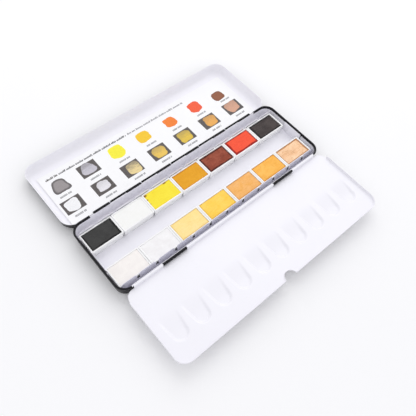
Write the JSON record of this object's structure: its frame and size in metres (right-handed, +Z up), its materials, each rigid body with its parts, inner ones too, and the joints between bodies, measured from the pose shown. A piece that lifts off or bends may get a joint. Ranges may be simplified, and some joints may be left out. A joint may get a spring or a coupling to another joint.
{
  "type": "watercolor pan set",
  "caption": "Long, low metal watercolor box opened flat: lid with a colour card, base with two rows of full pans in a lift-out insert, and a fold-out mixing palette.",
  "frame": {"origin": "centre of the base's flat underside", "axes": "+X along the box, +Y from the mixing palette towards the lid, +Z up"},
  "size_m": [0.2274, 0.2181, 0.0138],
  "materials": {
    "black_enamel": "gloss",
    "white_enamel": "gloss",
    "steel_wire": "satin",
    "card": "matte",
    "pan_plastic": "gloss",
    "paint_charcoal": "matte",
    "paint_white": "matte",
    "paint_yellow": "matte",
    "paint_ochre": "matte",
    "paint_brick": "matte",
    "paint_vermilion": "matte",
    "paint_umber": "matte",
    "paint_pearl_white": "satin",
    "paint_silver_white": "satin",
    "paint_pale_gold": "satin",
    "paint_yellow_gold": "satin",
    "paint_copper_gold": "satin",
    "paint_orange_gold": "satin",
    "paint_rose_gold": "satin"
  },
  "bodies": {
    "base": {"base_tray": "black_enamel", "lid_hinge_pin": "steel_wire", "palette_hinge_pin": "steel_wire"},
    "insert": {"insert_tray": "white_enamel"},
    "lid": {"lid": "black_enamel", "colour_card": "card"},
    "palette": {"mixing_palette": "white_enamel"},
    "pan_back_1": {"pan_back_1": "pan_plastic", "paint_back_1": "paint_charcoal"},
    "pan_back_2": {"pan_back_2": "pan_plastic", "paint_back_2": "paint_white"},
    "pan_back_3": {"pan_back_3": "pan_plastic", "paint_back_3": "paint_yellow"},
    "pan_back_4": {"pan_back_4": "pan_plastic", "paint_back_4": "paint_ochre"},
    "pan_back_5": {"pan_back_5": "pan_plastic", "paint_back_5": "paint_brick"},
    "pan_back_6": {"pan_back_6": "pan_plastic", "paint_back_6": "paint_vermilion"},
    "pan_back_7": {"pan_back_7": "pan_plastic", "paint_back_7": "paint_umber"},
    "pan_front_1": {"pan_front_1": "pan_plastic", "paint_front_1": "paint_pearl_white"},
    "pan_front_2": {"pan_front_2": "pan_plastic", "paint_front_2": "paint_silver_white"},
    "pan_front_3": {"pan_front_3": "pan_plastic", "paint_front_3": "paint_pale_gold"},
    "pan_front_4": {"pan_front_4": "pan_plastic", "paint_front_4": "paint_yellow_gold"},
    "pan_front_5": {"pan_front_5": "pan_plastic", "paint_front_5": "paint_copper_gold"},
    "pan_front_6": {"pan_front_6": "pan_plastic", "paint_front_6": "paint_orange_gold"},
    "pan_front_7": {"pan_front_7": "pan_plastic", "paint_front_7": "paint_rose_gold"}
  },
  "joints": [
    {"name": "lid_hinge", "type": "hinge", "parent": "base", "child": "lid", "pos_m": [0, 0.03625, 0.0117], "axis": [-1, 0, 0], "range_deg": [-180, 0]},
    {"name": "palette_hinge", "type": "hinge", "parent": "base", "child": "palette", "pos_m": [0, -0.03625, 0.01273], "axis": [1, 0, 0], "range_deg": [-180, 0]},
    {"name": "insert_lift", "type": "slide", "parent": "base", "child": "insert", "axis": [0, 0, 1], "range_m": [0, 0.02]},
    {"name": "pan_back_1_lift", "type": "slide", "parent": "insert", "child": "pan_back_1", "axis": [0, 0, 1], "range_m": [0, 0.012]},
    {"name": "pan_back_2_lift", "type": "slide", "parent": "insert", "child": "pan_back_2", "axis": [0, 0, 1], "range_m": [0, 0.012]},
    {"name": "pan_back_3_lift", "type": "slide", "parent": "insert", "child": "pan_back_3", "axis": [0, 0, 1], "range_m": [0, 0.012]},
    {"name": "pan_back_4_lift", "type": "slide", "parent": "insert", "child": "pan_back_4", "axis": [0, 0, 1], "range_m": [0, 0.012]},
    {"name": "pan_back_5_lift", "type": "slide", "parent": "insert", "child": "pan_back_5", "axis": [0, 0, 1], "range_m": [0, 0.012]},
    {"name": "pan_back_6_lift", "type": "slide", "parent": "insert", "child": "pan_back_6", "axis": [0, 0, 1], "range_m": [0, 0.012]},
    {"name": "pan_back_7_lift", "type": "slide", "parent": "insert", "child": "pan_back_7", "axis": [0, 0, 1], "range_m": [0, 0.012]},
    {"name": "pan_front_1_lift", "type": "slide", "parent": "insert", "child": "pan_front_1", "axis": [0, 0, 1], "range_m": [0, 0.012]},
    {"name": "pan_front_2_lift", "type": "slide", "parent": "insert", "child": "pan_front_2", "axis": [0, 0, 1], "range_m": [0, 0.012]},
    {"name": "pan_front_3_lift", "type": "slide", "parent": "insert", "child": "pan_front_3", "axis": [0, 0, 1], "range_m": [0, 0.012]},
    {"name": "pan_front_4_lift", "type": "slide", "parent": "insert", "child": "pan_front_4", "axis": [0, 0, 1], "range_m": [0, 0.012]},
    {"name": "pan_front_5_lift", "type": "slide", "parent": "insert", "child": "pan_front_5", "axis": [0, 0, 1], "range_m": [0, 0.012]},
    {"name": "pan_front_6_lift", "type": "slide", "parent": "insert", "child": "pan_front_6", "axis": [0, 0, 1], "range_m": [0, 0.012]},
    {"name": "pan_front_7_lift", "type": "slide", "parent": "insert", "child": "pan_front_7", "axis": [0, 0, 1], "range_m": [0, 0.012]}
  ]
}
